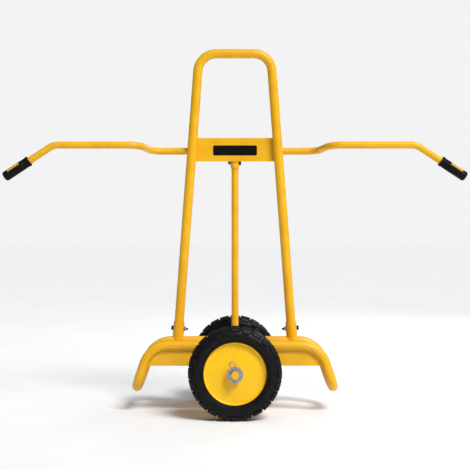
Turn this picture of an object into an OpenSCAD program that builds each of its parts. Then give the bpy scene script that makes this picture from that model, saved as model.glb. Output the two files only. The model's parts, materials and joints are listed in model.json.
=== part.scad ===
// Two-wheeled hand cart for carrying sheet material on edge.
// +X right, +Y to the rear, +Z up. The origin is on the floor midway between the two wheels,
// which stand one behind the other on an axle that runs along Y. Sizes are millimetres.

/* [Wheels] */
// Outside diameter of a tyre
tyre_od = 355.6; // [300:0.1:420]
// Width of a tyre at its widest
tyre_w = 90; // [70:1:110]
// Thickness of the tyre's rubber
tyre_wall = 10; // [6:0.5:14]
// Diameter of the rim where the tyre sits
rim_od = 240; // [200:1:280]
// Thickness of the rim's steel
rim_wall = 3; // [2:0.1:4]
// Width of the rim between its flanges
rim_w = 62; // [50:1:68]
// Distance from the cart's middle to a wheel's middle
wheel_y = 235; // [210:1:260]
// How far outboard of the wheel's middle its dished disc is welded
disc_offset = 20; // [8:1:26]
// Wall of the wheel's hub tube
hub_wall = 5; // [3:0.5:8]
// Wall of the bushes in the hub
bush_wall = 4; // [2:0.5:6]
// Length of a bush
bush_len = 28; // [15:1:40]
// Length of the wheel's hub tube
hub_len = 96; // [84:1:104]

/* [Axle] */
// Diameter of the axle bar
axle_d = 30; // [25:0.5:34]
// How far the axle bar stands out of its washers
axle_tip = 17.5; // [14:0.5:30]
// Wall of the tube that holds the axle
axle_tube_wall = 4; // [2:0.5:6]
// Length of the collars between the axle tube and the wheels
spacer_len = 11.5; // [6:0.5:30]
// Outside diameter of the axle washers
washer_od = 60; // [56:1:70]
// Thickness of the axle washers
washer_t = 4; // [3:0.5:6]
// Diameter of the hairpin's wire
pin_wire = 3.8; // [3:0.1:5]
// Diameter of the hairpin's ring, to the middle of the wire
pin_ring_d = 21; // [16:1:26]

/* [Base] */
// Outside diameter of the base tubes
base_od = 38.1; // [32:0.1:42]
// Wall of the base tubes
base_wall = 2.6; // [1.5:0.1:4]
// Distance from the cart's middle to a rail's middle
rail_y = 90; // [80:1:100]
// Height of a rail's middle above the floor
rail_z = 263; // [250:1:300]
// Half the rail's length, to where the lines of rail and leg cross
rail_half = 331.4; // [300:0.1:380]
// Radius of the bend from rail to leg
rail_bend_r = 100; // [80:1:120]
// Angle of the legs from upright
leg_splay = 18.6; // [10:0.1:24]
// Height of the foot loop's middle above the floor
foot_z = 96; // [70:0.1:130]
// Radius of the foot loop's corners
foot_bend_r = 58; // [45:1:65]
// Height of the joint between rail and foot loop
seam_z = 192; // [175:1:196]
// Thickness of the web plates
web_t = 4; // [3:0.5:6]
// Height of the web plates' lower edge
web_z = 185; // [180:1:210]
// Radius of the lug that carries the axle tube
lug_r = 34; // [28:1:45]
// Height of the deck's underside
deck_z = 262; // [261:1:268]
// Thickness of the deck plate
deck_t = 3; // [2:0.5:5]

/* [Hoop] */
// Outside diameter of the hoop's tube
hoop_od = 38.1; // [32:0.1:42]
// Wall of the hoop's tube
hoop_wall = 2.6; // [1.5:0.1:4]
// Height of the top bar's middle
hoop_top_z = 1436; // [1200:1:1650]
// Half the hoop's width, to where the lines of top bar and leg cross
hoop_top_half = 146.5; // [120:0.1:180]
// How far each leg spreads for each millimetre down
hoop_slope = 0.0746; // [0.03:0.0001:0.09]
// Radius of the hoop's corners
hoop_bend_r = 76; // [60:1:90]
// Wall of the sockets that hold the hoop
socket_wall = 3; // [2:0.1:5]
// Height of a socket above its rail
socket_len = 59; // [45:1:80]
// Height of the hoop bolts above the rail
hoop_bolt_up = 32; // [24:1:40]

/* [Cross plate] */
// Height of the plate's lower edge
plate_z = 997; // [900:1:1100]
// Height of the plate
plate_h = 96; // [80:1:120]
// Thickness of the plate
plate_t = 3; // [2:0.5:5]
// Width of the dark label on the plate
decal_w = 180; // [120:1:220]
// Height of the dark label on the plate
decal_h = 41; // [30:1:60]
// Height of the label's middle below the plate's middle
decal_drop = 3; // [0:1:10]

/* [Post] */
// Outside diameter of the post
post_od = 28.6; // [25:0.1:32]
// Wall of the post, the handles and their sleeves
post_wall = 2.6; // [1.5:0.1:3]
// Wall of the sleeves that hold the post and the handles
sleeve_wall = 2.9; // [2:0.1:4]
// How far the upper sleeve shows below the plate
sleeve_drop = 28; // [20:1:50]
// Height of the lower sleeve above the axle's middle
foot_sleeve_len = 62; // [45:1:66]

/* [Handles] */
// Length of the sleeve that holds both handles
handle_sleeve_len = 290; // [240:1:320]
// Distance from the middle to a handle's inner end
handle_inner = 10; // [4:1:60]
// Height of the handles' inner runs
handle_z = 1040; // [1030:1:1060]
// Distance from the middle to the first bend
handle_kick_x = 340; // [310:1:380]
// Distance from the middle to the second bend
handle_run_x = 383; // [345:1:430]
// Height of the handles' outer runs
handle_run_z = 1055; // [1044:1:1090]
// Distance from the middle to the drooping end
handle_corner_x = 726.5; // [600:0.5:900]
// Angle that the end droops
handle_droop = 33.3; // [20:0.5:45]
// Radius of the handle's bends
handle_bend_r = 60; // [50:1:70]
// Distance from the drooping bend to the grip
grip_start = 114; // [90:1:140]
// Length of the grip
grip_len = 120; // [100:1:150]
// Diameter of the grip
grip_od = 40; // [36:0.5:44]
// Diameter of the grip's collar
collar_od = 42; // [40:0.5:50]
// Length of the label on the grip
label_len = 54; // [30:1:80]

/* [Fasteners] */
// Diameter of the bolts
bolt_d = 10; // [8:0.5:10]
// Width across the corners of the heads and nuts
hex_d = 18.5; // [16:0.5:20]
// Height of a bolt head
head_h = 8; // [5:0.5:10]
// Height of a nut
nut_h = 8; // [6:0.5:10]
// How far a bolt's tip stands out of its nut
tip_h = 4; // [2:0.5:12]

/* [Fits] */
// Gap all round a tube inside its sleeve
sleeve_gap = 0.2; // [0.1:0.05:0.4]
// Gap all round the axle in a turning bush
bush_gap = 0.06; // [0.02:0.01:0.1]
// Gap all round a bolt in its hole
bolt_gap = 0.3; // [0.2:0.05:0.6]
// Gap all round a handle in its grip
grip_gap = 0.05; // [0.02:0.01:0.1]
// End float of each wheel on the axle
end_float = 0.5; // [0.3:0.1:1]
// Gap round a leg socket in the deck
notch_gap = 3; // [2:0.5:6]

/* [Hidden] */
$fn = 72;

front = -1;
rear = 1;
left = -1;
right = 1;

yellow = "#e9ae22";
rubber_black = "#1c1d1f";
zinc = "#a9abae";

lap = 1;           // how far a straight run reaches into the bend after it
draw_down = 0.02;  // how much a tube's radius shrinks where it is bent
grip_cap = 8;      // rubber beyond a handle's end
touch_gap = 0.1;   // between tubes that only pass each other
sleeve_od = post_od + 2 * (sleeve_gap + sleeve_wall);
socket_od = hoop_od + 2 * (sleeve_gap + socket_wall);

bush_od = axle_d + 2 * bush_wall;
hub_od = bush_od + 2 * hub_wall;
axle_z = tyre_od / 2;
axle_tube_od = axle_d + 2 * axle_tube_wall;
axle_tube_len = 2 * (wheel_y - hub_len / 2 - end_float - spacer_len);
washer_y = wheel_y + hub_len / 2 + end_float;
axle_len = 2 * (washer_y + washer_t + axle_tip);
pin_y = washer_y + washer_t + axle_tip / 3;

rail_top = rail_z + base_od / 2;
leg_run = tan(leg_splay);
rail_path = [[-leg_x(seam_z), seam_z], [-rail_half, rail_z], [rail_half, rail_z], [leg_x(seam_z), seam_z]];

hoop_y = rail_y;
hoop_foot_z = rail_top + 4;
hoop_path = [[-hoop_x(hoop_foot_z), hoop_foot_z], [-hoop_top_half, hoop_top_z],
             [hoop_top_half, hoop_top_z], [hoop_x(hoop_foot_z), hoop_foot_z]];
hoop_lean = atan(hoop_slope);
hoop_bolt_z = rail_top + hoop_bolt_up;

sleeve_y = hoop_y + max(hoop_od, base_od) / 2 + touch_gap + post_od / 2;
plate_back_y = sleeve_y - sleeve_od / 2;
plate_mid_z = plate_z + plate_h / 2;
post_bolt_z = [plate_z - 5, axle_z + axle_tube_od / 2 + 25];
post_foot_z = axle_z + axle_tube_od / 2 + 2;
handle_bolt_x = handle_sleeve_len / 2 - 35;

droop = [cos(handle_droop), 0, -sin(handle_droop)];
droop_corner = [handle_corner_x, 0, handle_run_z];
grip_end = droop_corner + droop * (grip_start + grip_len);
handle_path = [[handle_inner, sleeve_y, handle_z], [handle_kick_x, sleeve_y, handle_z],
               [handle_run_x, 0, handle_run_z], droop_corner,
               droop_corner + droop * (grip_start + grip_len - grip_cap)];

// Distance of a base leg's middle from the cart's middle, at a height
function leg_x(z) = rail_half + (rail_z - z) * leg_run;
// Distance of a hoop leg's middle from the cart's middle, at a height
function hoop_x(z) = hoop_top_half + (hoop_top_z - z) * hoop_slope;
// A flat path in X and Z, set at one Y
function upright(path, y) = [for (p = path) [p.x, y, p.y]];
function unit(v) = v / norm(v);
// Distance from a corner back to where its bend starts
function setback(p, q, s, r) = r * tan(acos(unit(q - p) * unit(s - q)) / 2);

// ---- bent tubes ----

// A straight round bar between two points
module straight_bar(a, b, r) {
  w = unit(b - a);
  u = unit(cross(w, abs(w.z) < 0.9 ? [0, 0, 1] : [1, 0, 0]));
  v = cross(w, u);
  multmatrix([[u.x, v.x, w.x, a.x], [u.y, v.y, w.y, a.y], [u.z, v.z, w.z, a.z], [0, 0, 0, 1]])
    cylinder(r = r, h = norm(b - a));
}

// The bend at corner q of a round bar that comes from p and goes to s
module bar_bend(p, q, s, bend_r, r) {
  along = unit(q - p);
  next = unit(s - q);
  out = -unit(next - (along * next) * along);
  w = cross(out, along);
  o = q - setback(p, q, s, bend_r) * along - bend_r * out;
  multmatrix([[out.x, along.x, w.x, o.x], [out.y, along.y, w.y, o.y], [out.z, along.z, w.z, o.z],
              [0, 0, 0, 1]])
    rotate_extrude(angle = acos(along * next)) translate([bend_r, 0]) circle(r = r - draw_down);
}

// A round bar along a path, longer by over at both ends
module bar(path, bend_r, r, over = 0) {
  last = len(path) - 1;
  for (i = [0:last - 1]) {
    d = unit(path[i + 1] - path[i]);
    from = i == 0 ? -over : setback(path[i - 1], path[i], path[i + 1], bend_r) - lap;
    to = i == last - 1 ? -over : setback(path[i], path[i + 1], path[i + 2], bend_r) - lap;
    straight_bar(path[i] + from * d, path[i + 1] - to * d, r);
  }
  for (i = [1:last - 1]) bar_bend(path[i - 1], path[i], path[i + 1], bend_r, r);
}

module bent_tube(path, bend_r, od, wall) {
  difference() {
    bar(path, bend_r, od / 2);
    bar(path, bend_r, od / 2 - wall, 1);
  }
}

// ---- fasteners ----

// A bolt along +X: its head's underside is at x = 0 and its tip at x = reach
module hex_bolt(reach) {
  rotate([0, 90, 0]) {
    translate([0, 0, -head_h]) cylinder(d = hex_d, h = head_h, $fn = 6);
    translate([0, 0, -1]) cylinder(d = bolt_d, h = reach + 1);
  }
}

// A nut along +X from x = 0, for a bolt of the same size
module hex_nut() {
  rotate([0, 90, 0]) difference() {
    cylinder(d = hex_d, h = nut_h, $fn = 6);
    translate([0, 0, -1]) cylinder(d = bolt_d + 0.2, h = nut_h + 2);
  }
}

// A round hole along X through the origin
module cross_hole(length) {
  rotate([0, 90, 0]) cylinder(d = bolt_d + 2 * bolt_gap, h = length, center = true);
}

// ---- base ----

module rail(side) {
  color(yellow) bent_tube(upright(rail_path, side * rail_y), rail_bend_r, base_od, base_wall);
}

module foot_loop(side) {
  top = leg_x(seam_z);
  low = leg_x(foot_z);
  path = [[side * top, -rail_y, seam_z], [side * low, -rail_y, foot_z],
          [side * low, rail_y, foot_z], [side * top, rail_y, seam_z]];
  color(yellow) bent_tube(path, foot_bend_r, base_od, base_wall);
}

// The plate under a rail, between its legs, with a round lug about the axle tube
module web(side) {
  top_half = rail_half - base_od / 2;
  outline = [[-leg_x(web_z), web_z], [-top_half, rail_z], [top_half, rail_z], [leg_x(web_z), web_z]];
  legs = [for (x = [left, right]) [[x * leg_x(rail_z), rail_z], [x * leg_x(web_z - base_od), web_z - base_od]]];
  color(yellow) difference() {
    translate([0, side * rail_y, 0]) union() {
      rotate([90, 0, 0]) linear_extrude(web_t, center = true) polygon(outline);
      translate([0, 0, axle_z]) rotate([90, 0, 0]) cylinder(r = lug_r, h = web_t, center = true);
    }
    bar(upright(rail_path, side * rail_y), rail_bend_r, base_od / 2);
    for (p = legs) straight_bar([p[0].x, side * rail_y, p[0].y], [p[1].x, side * rail_y, p[1].y], base_od / 2);
    axle_round(axle_tube_od, axle_tube_len);
  }
}

// Notched along its rear edge to clear the leg sockets
module deck_plate() {
  straight = rail_half - rail_bend_r * tan((90 - leg_splay) / 2);
  notch = socket_od + 2 * notch_gap;
  color(yellow) difference() {
    translate([-straight, -rail_y, deck_z]) cube([2 * straight, 2 * rail_y, deck_t]);
    for (y = [-rail_y, rail_y])
      straight_bar([-rail_half, y, rail_z], [rail_half, y, rail_z], base_od / 2);
    for (side = [left, right])
      translate([side * hoop_x(deck_z) - notch / 2, rail_y - notch / 2, deck_z - 1]) cube([notch, notch, deck_t + 2]);
  }
}

// ---- axle ----

// A round bar on the axle's line, centred on the cart
module axle_round(d, length) {
  translate([0, 0, axle_z]) rotate([90, 0, 0]) cylinder(d = d, h = length, center = true);
}

// Puts its children on the axle's line at a distance from the middle, with +Z outboard
module on_axle(side, y) {
  translate([0, side * y, axle_z]) rotate([-90 * side, 0, 0]) children();
}

module axle_tube() {
  color(yellow) difference() {
    axle_round(axle_tube_od, axle_tube_len);
    axle_round(axle_d, axle_tube_len + 2);
  }
}

module axle_bar() {
  color(yellow) difference() {
    axle_round(axle_d, axle_len);
    for (side = [front, rear])
      translate([0, side * pin_y, axle_z]) cylinder(d = pin_wire + 0.6, h = axle_d + 2, center = true);
  }
}

module axle_ring(side, y, od, length) {
  color(zinc) on_axle(side, y) difference() {
    cylinder(d = od, h = length);
    translate([0, 0, -1]) cylinder(d = axle_d + 2 * sleeve_gap, h = length + 2);
  }
}

// The collar between the axle tube and the wheel's hub
module spacer(side) {
  axle_ring(side, axle_tube_len / 2, axle_tube_od, spacer_len);
}

module washer(side) {
  axle_ring(side, washer_y, washer_od, washer_t);
}

// The hairpin's middle line in X and Z about the axle's middle: a straight leg through the axle,
// the ring above it, and a waved leg that grips the axle's side
pin_r = pin_ring_d / 2;
ring_z = axle_d / 2 + 22.5;
wrap_r = axle_d / 2 + pin_wire / 2 + 0.3;
hairpin_path = concat(
  [[0, -axle_d / 2 - 25], [0, -axle_d / 2], [0, 0], [0, axle_d / 2]],
  [for (a = [0:20:220]) [-pin_r + pin_r * cos(a), ring_z + pin_r * sin(a)]],
  [for (a = [120:15:230]) wrap_r * [cos(a), sin(a)]],
  [[-7.5, -axle_d / 2 - 6], [-5, -axle_d / 2 - 14], [-6, -axle_d / 2 - 20]]);

// A wire swept along a flat path in X and Z
module wire(path, d) {
  sides = 10;
  last = len(path) - 1;
  rings = [for (i = [0:last])
    let (t = unit(path[min(i + 1, last)] - path[max(i - 1, 0)]), n = [-t.y, t.x])
    [for (k = [0:sides - 1]) let (a = 360 * k / sides)
      [path[i].x + d / 2 * cos(a) * n.x, d / 2 * sin(a), path[i].y + d / 2 * cos(a) * n.y]]];
  points = [for (ring = rings) each ring];
  skin = [for (i = [0:last - 1], k = [0:sides - 1]) let (m = (k + 1) % sides)
    [i * sides + k, i * sides + m, (i + 1) * sides + m, (i + 1) * sides + k]];
  ends = [[for (k = [sides - 1:-1:0]) k], [for (k = [0:sides - 1]) last * sides + k]];
  polyhedron(points, concat(skin, ends), convexity = 4);
}

module hairpin(side) {
  color(zinc) translate([0, side * pin_y, axle_z]) wire(hairpin_path, pin_wire);
}

// ---- hoop ----

// Puts its children on a hoop leg's line at a height, with +Z up the leg and +X away from the middle
module on_hoop_leg(side, z) {
  translate([side * hoop_x(z), hoop_y, z]) rotate([0, -side * hoop_lean, 0])
    mirror([side == left ? 1 : 0, 0, 0]) children();
}

module leg_socket(side) {
  length = socket_len + base_od / 2;
  color(yellow) difference() {
    on_hoop_leg(side, rail_z) cylinder(d = socket_od, h = length);
    on_hoop_leg(side, rail_z) translate([0, 0, -1]) cylinder(d = hoop_od + 2 * sleeve_gap, h = length + 2);
    straight_bar([-rail_half, rail_y, rail_z], [rail_half, rail_y, rail_z], base_od / 2);
    on_hoop_leg(side, hoop_bolt_z) cross_hole(socket_od + 2);
  }
}

module hoop() {
  color(yellow) difference() {
    bent_tube(upright(hoop_path, hoop_y), hoop_bend_r, hoop_od, hoop_wall);
    for (side = [left, right]) on_hoop_leg(side, hoop_bolt_z) cross_hole(hoop_od + 2);
  }
}

module hoop_bolts() {
  color(zinc) for (side = [left, right]) on_hoop_leg(side, hoop_bolt_z)
    translate([socket_od / 2, 0, 0]) mirror([1, 0, 0]) hex_bolt(socket_od + nut_h + tip_h * 2);
}

module hoop_nuts() {
  color(yellow) for (side = [left, right]) on_hoop_leg(side, hoop_bolt_z)
    translate([-socket_od / 2 - nut_h, 0, 0]) hex_nut();
}

// ---- cross plate ----

module cross_plate() {
  reach = hoop_x(plate_z);
  color(yellow) difference() {
    translate([-reach, plate_back_y - plate_t, plate_z]) cube([2 * reach, plate_t, plate_h]);
    bar(upright(hoop_path, hoop_y), hoop_bend_r, hoop_od / 2);
    // what would stand outside the legs
    for (side = [left, right]) on_hoop_leg(side, plate_z)
      translate([0, -hoop_od, -hoop_od]) cube([2 * hoop_od, 2 * hoop_od, plate_h + 2 * hoop_od]);
  }
}

module plate_label() {
  thin = 0.5;
  round_r = 6;
  color(rubber_black) translate([0, plate_back_y - plate_t - thin, plate_mid_z - decal_drop]) rotate([-90, 0, 0])
    linear_extrude(thin) {
      square([decal_w - 2 * round_r, decal_h], center = true);
      square([decal_w, decal_h - 2 * round_r], center = true);
      for (x = [-1, 1], z = [-1, 1])
        translate([x * (decal_w / 2 - round_r), z * (decal_h / 2 - round_r)]) circle(r = round_r);
    }
}

// ---- post ----

module post_sleeve(z_low, z_high, bolt_z) {
  difference() {
    translate([0, sleeve_y, z_low]) cylinder(d = sleeve_od, h = z_high - z_low);
    translate([0, sleeve_y, z_low - 1]) cylinder(d = sleeve_od - 2 * sleeve_wall, h = z_high - z_low + 2);
    translate([0, sleeve_y, bolt_z]) cross_hole(sleeve_od + 2);
    children();
  }
}

module post_sleeve_top() {
  color(yellow) post_sleeve(plate_z - sleeve_drop, handle_z, post_bolt_z[0])
    straight_bar([-sleeve_od, sleeve_y, handle_z], [sleeve_od, sleeve_y, handle_z], sleeve_od / 2);
}

module post_sleeve_foot() {
  color(yellow) post_sleeve(axle_z, axle_z + foot_sleeve_len, post_bolt_z[1]) {
    axle_round(axle_tube_od, axle_tube_len);
    straight_bar([-rail_half, rail_y, rail_z], [rail_half, rail_y, rail_z], base_od / 2);
  }
}

module post() {
  top = handle_z - sleeve_od / 2 - 3;
  color(yellow) difference() {
    translate([0, sleeve_y, post_foot_z]) cylinder(d = post_od, h = top - post_foot_z);
    translate([0, sleeve_y, post_foot_z - 1]) cylinder(d = post_od - 2 * post_wall, h = top - post_foot_z + 2);
    for (z = post_bolt_z) translate([0, sleeve_y, z]) cross_hole(post_od + 2);
  }
}

module post_bolts() {
  color(zinc) for (z = post_bolt_z) translate([sleeve_od / 2, sleeve_y, z]) mirror([1, 0, 0])
    hex_bolt(sleeve_od + nut_h + tip_h);
}

module post_nuts() {
  color(zinc) for (z = post_bolt_z) translate([-sleeve_od / 2, sleeve_y, z]) mirror([1, 0, 0]) hex_nut();
}

// ---- handles ----

// Puts its children at a handle bolt, with +X up
module at_handle_bolt(side) {
  translate([side * handle_bolt_x, sleeve_y, handle_z]) rotate([0, -90, 0]) children();
}

module handle_sleeve() {
  color(yellow) difference() {
    translate([0, sleeve_y, handle_z]) rotate([0, 90, 0])
      cylinder(d = sleeve_od, h = handle_sleeve_len, center = true);
    translate([0, sleeve_y, handle_z]) rotate([0, 90, 0])
      cylinder(d = sleeve_od - 2 * sleeve_wall, h = handle_sleeve_len + 2, center = true);
    for (side = [left, right]) at_handle_bolt(side) cross_hole(sleeve_od + 2);
  }
}

module handle(side) {
  color(yellow) mirror([side == left ? 1 : 0, 0, 0]) difference() {
    bent_tube(handle_path, handle_bend_r, post_od, post_wall);
    at_handle_bolt(right) cross_hole(post_od + 2);
  }
}

module handle_bolts() {
  color(zinc) for (side = [left, right]) at_handle_bolt(side)
    translate([sleeve_od / 2, 0, 0]) mirror([1, 0, 0]) hex_bolt(sleeve_od + nut_h + tip_h);
}

module handle_nuts() {
  color(zinc) for (side = [left, right]) at_handle_bolt(side)
    translate([-sleeve_od / 2 - nut_h, 0, 0]) hex_nut();
}

// Puts its children on the drooping end's line, with +Z out along it and +X on its upper side
module on_grip(side) {
  mirror([side == left ? 1 : 0, 0, 0]) translate(droop_corner + droop * grip_start)
    rotate([0, 90 + handle_droop, 0]) mirror([1, 0, 0]) children();
}

module grip(side) {
  collar_len = 12;
  end_round = 9;
  color(rubber_black) on_grip(side) difference() {
    rotate_extrude() {
      square([collar_od / 2, collar_len]);
      square([grip_od / 2, grip_len - end_round]);
      square([grip_od / 2 - end_round, grip_len]);
      translate([grip_od / 2 - end_round, grip_len - end_round]) intersection() {
        circle(r = end_round);
        square(end_round);
      }
    }
    translate([0, 0, -1]) cylinder(d = post_od + 2 * grip_gap, h = grip_len - grip_cap + 1 + grip_gap);
  }
}

// The blank label let on to the grip's upper side
module grip_label(side) {
  thin = 0.6;
  label_w = 20;
  label_turn = 35;  // from the upper side towards the front
  color(yellow) on_grip(side) rotate([0, 0, -label_turn]) intersection() {
    translate([0, 0, (grip_len - label_len) / 2 + grip_cap]) difference() {
      cylinder(d = grip_od + 2 * thin, h = label_len);
      translate([0, 0, -1]) cylinder(d = grip_od, h = label_len + 2);
    }
    translate([0, -label_w / 2, 0]) cube([grip_od, label_w, grip_len]);
  }
}

// ---- wheels ----

// A wheel piece: its profile has the distance from the axle along X and outboard along Y
module wheel_piece(side) {
  on_axle(side, wheel_y) rotate_extrude() children();
}

tread_w = tyre_w - 8;
bulge_r = 33;
bulge_x = tyre_w / 2 - bulge_r;
bulge_y = tyre_od / 2 - bulge_r - 5;

// The tyre's section, shrunk all round by inset
module tyre_section(inset) {
  for (x = [-bulge_x, bulge_x]) translate([bulge_y, x]) circle(r = bulge_r - inset);
  translate([bulge_y - bulge_r + inset, -bulge_x]) square([2 * (bulge_r - inset), 2 * bulge_x]);
  translate([rim_od / 2 - inset, -bulge_x - 18 + inset]) square([bulge_y - rim_od / 2, 2 * (bulge_x + 18 - inset)]);
}

// The space inside the tyre, between its two beads
module core_section() {
  bead_w = 10;
  bead_h = 13;
  difference() {
    tyre_section(tyre_wall);
    translate([0, -tyre_w]) square([rim_od / 2, 2 * tyre_w]);
    for (x = [-1, 1]) translate([rim_od / 2, x * rim_w / 2 - (x + 1) / 2 * (rim_wall + bead_w) - (1 - x) / 2 * tyre_w])
      square([bead_h, rim_wall + bead_w + tyre_w]);
  }
}

module tyre(side) {
  // half the crown from its root to the middle: depth below the outside, distance from the middle
  crown = [[-24, tread_w / 2], [-9, tread_w / 2], [-3, tread_w / 2 - 9], [0, tread_w / 2 - 22]];
  color(rubber_black) wheel_piece(side) difference() {
    union() {
      tyre_section(0);
      translate([tyre_od / 2, 0]) polygon([for (x = [-1, 1], p = x < 0 ? crown : [for (i = [len(crown) - 1:-1:0]) crown[i]])
        [p.x, x * p.y]]);
    }
    core_section();
    translate([0, -tyre_w]) square([rim_od / 2, 2 * tyre_w]);
    rim_flanges();
  }
}

// The rim's two turned-up edges
module rim_flanges() {
  flange_h = 5;
  for (y = [-rim_w / 2, rim_w / 2 - rim_wall])
    translate([rim_od / 2 - rim_wall, y]) square([rim_wall + flange_h, rim_wall]);
}

module tyre_core(side) {
  color("dimgray") wheel_piece(side) core_section();
}

// The rolled rim and its dished disc
module rim(side) {
  dish = 5;
  half_disc = rim_wall / 2;
  color(yellow) wheel_piece(side) {
    rim_flanges();
    translate([rim_od / 2 - rim_wall, -rim_w / 2]) square([rim_wall, rim_w]);
    polygon([[hub_od / 2, disc_offset + dish - half_disc], [washer_od / 2 + 8, disc_offset + dish - half_disc],
             [rim_od / 2 - 1, disc_offset - half_disc], [rim_od / 2 - 1, disc_offset + half_disc],
             [washer_od / 2 + 8, disc_offset + dish + half_disc], [hub_od / 2, disc_offset + dish + half_disc]]);
  }
}

module hub(side) {
  color(yellow) wheel_piece(side)
    translate([bush_od / 2, -hub_len / 2]) square([(hub_od - bush_od) / 2, hub_len]);
}

module hub_bushes(side) {
  color("ivory") wheel_piece(side)
    for (y = [-hub_len / 2, hub_len / 2 - bush_len])
      translate([axle_d / 2 + bush_gap, y]) square([(bush_od - axle_d) / 2 - bush_gap, bush_len]);
}

rail(front);  // rail_front
rail(rear);  // rail_rear
foot_loop(left);  // foot_loop_left
foot_loop(right);  // foot_loop_right
web(front);  // web_front
web(rear);  // web_rear
deck_plate();
axle_tube();
axle_bar();
spacer(front);  // spacer_front
spacer(rear);  // spacer_rear
washer(front);  // washer_front
washer(rear);  // washer_rear
hairpin(front);  // hairpin_front
hairpin(rear);  // hairpin_rear
leg_socket(left);  // leg_socket_left
leg_socket(right);  // leg_socket_right
hoop();
hoop_bolts();
hoop_nuts();
cross_plate();
plate_label();
handle_sleeve();
post_sleeve_top();
post_sleeve_foot();
post();
post_bolts();
post_nuts();
handle(left);  // handle_left
handle(right);  // handle_right
handle_bolts();
handle_nuts();
grip(left);  // grip_left
grip(right);  // grip_right
grip_label(left);  // grip_label_left
grip_label(right);  // grip_label_right
tyre(front);  // tyre_front
tyre_core(front);  // tyre_core_front
rim(front);  // rim_front
hub(front);  // hub_front
hub_bushes(front);  // hub_bushes_front
tyre(rear);  // tyre_rear
tyre_core(rear);  // tyre_core_rear
rim(rear);  // rim_rear
hub(rear);  // hub_rear
hub_bushes(rear);  // hub_bushes_rear
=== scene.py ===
import json
import math

import bmesh
import bpy
from mathutils import Matrix, Vector


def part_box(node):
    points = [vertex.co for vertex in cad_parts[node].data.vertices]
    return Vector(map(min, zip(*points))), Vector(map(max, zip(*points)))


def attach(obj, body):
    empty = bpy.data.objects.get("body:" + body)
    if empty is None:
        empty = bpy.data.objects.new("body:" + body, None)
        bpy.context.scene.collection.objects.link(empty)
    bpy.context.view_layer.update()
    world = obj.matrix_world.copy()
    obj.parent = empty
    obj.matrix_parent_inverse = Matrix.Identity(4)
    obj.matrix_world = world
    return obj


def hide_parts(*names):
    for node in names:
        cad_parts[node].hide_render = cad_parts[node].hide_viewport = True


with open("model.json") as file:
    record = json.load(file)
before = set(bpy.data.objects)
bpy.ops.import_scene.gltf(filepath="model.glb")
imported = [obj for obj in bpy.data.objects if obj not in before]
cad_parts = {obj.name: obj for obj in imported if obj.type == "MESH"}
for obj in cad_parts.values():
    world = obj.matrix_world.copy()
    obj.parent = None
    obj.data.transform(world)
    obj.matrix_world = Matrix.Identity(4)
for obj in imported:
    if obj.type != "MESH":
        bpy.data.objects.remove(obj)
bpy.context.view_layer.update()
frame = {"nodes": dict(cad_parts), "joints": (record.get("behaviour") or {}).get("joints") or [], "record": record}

MM = 0.001
FRAME_BODY = "frame"
WHEEL_BODIES = {"wheel_front": -1, "wheel_rear": 1}  # body name to the side of the cart it is on
JOINTS = {joint["child"]: joint for joint in frame["joints"]}


# ---------------------------------------------------------------- camera, lights and floor

CAMERA_HEIGHT = 0.714
CAMERA_DISTANCE = 3.9985
SENSOR = 36
LENS = 76.6              # a moderate telephoto on that sensor
HORIZON_RISE = 0.009787  # how far the level line lies above the middle, as a share of the width


def make_camera():
    data = bpy.data.cameras.new("camera")
    data.lens = LENS
    data.sensor_width = SENSOR
    data.shift_y = -HORIZON_RISE
    camera = bpy.data.objects.new("camera", data)
    camera.location = (0, -CAMERA_DISTANCE, CAMERA_HEIGHT)
    camera.rotation_euler = (math.radians(90), 0, 0)
    bpy.context.scene.collection.objects.link(camera)
    bpy.context.scene.camera = camera


def add_light(kind, name, place, target, **settings):
    data = bpy.data.lights.new(name, kind)
    for setting, value in settings.items():
        setattr(data, setting, value)
    light = bpy.data.objects.new(name, data)
    light.location = place
    light.rotation_euler = (Vector(target) - Vector(place)).to_track_quat("-Z", "Y").to_euler()
    bpy.context.scene.collection.objects.link(light)


MIDDLE = (0, 0, 0.7)

make_camera()
add_light("SUN", "key_upper_right", (2.0, -2.9, 4.7), MIDDLE, energy=2.78, angle=math.radians(22))
add_light("AREA", "strip_right", (2.6, -1.6, 1.6), MIDDLE, shape="RECTANGLE", size=0.5, size_y=2.2,
          energy=16)
add_light("AREA", "rear_right", (2.2, 3.2, 2.6), MIDDLE, shape="DISK", size=1.6, energy=30)


# ---------------------------------------------------------------- materials

NOISE = "ShaderNodeTexNoise"
CELLS = "ShaderNodeTexVoronoi"
RAMP = "ShaderNodeValToRGB"
SPREAD = "ShaderNodeMapRange"
BUMP = "ShaderNodeBump"


def linear(hex_colour):
    """An sRGB hex colour as linear RGBA."""
    channels = [int(hex_colour[i:i + 2], 16) / 255 for i in (1, 3, 5)]
    return tuple(c / 12.92 if c <= 0.04045 else ((c + 0.055) / 1.055) ** 2.4 for c in channels) + (1.0,)


def add_node(tree, kind, inputs=None, stops=(), **settings):
    """A new node with its settings; an input takes a value, or another node's output to link from.

    Inputs go by name, or by number where a node has several of one name. Stops are a colour
    ramp's (position, hex colour) pairs, in rising order.
    """
    node = tree.nodes.new(kind)
    for name, value in settings.items():
        setattr(node, name, value)
    for name, value in (inputs or {}).items():
        if isinstance(value, bpy.types.NodeSocket):
            tree.links.new(value, node.inputs[name])
        else:
            node.inputs[name].default_value = value
    for i, (position, colour) in enumerate(stops):
        elements = node.color_ramp.elements
        element = elements[i] if i < len(elements) else elements.new(position)
        element.position = position
        element.color = linear(colour)
    return node


def patch_scale(size_mm):
    """The scale at which a pattern's patches are about size_mm across."""
    return 1 / (size_mm * MM)


def new_material(name):
    """An empty node material, its tree, and coordinates in metres in the cart's own frame."""
    material = bpy.data.materials.new(name)
    material.use_nodes = True
    tree = material.node_tree
    tree.nodes.clear()
    place = add_node(tree, "ShaderNodeTexCoord").outputs["Object"]
    return material, tree, place


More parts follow.
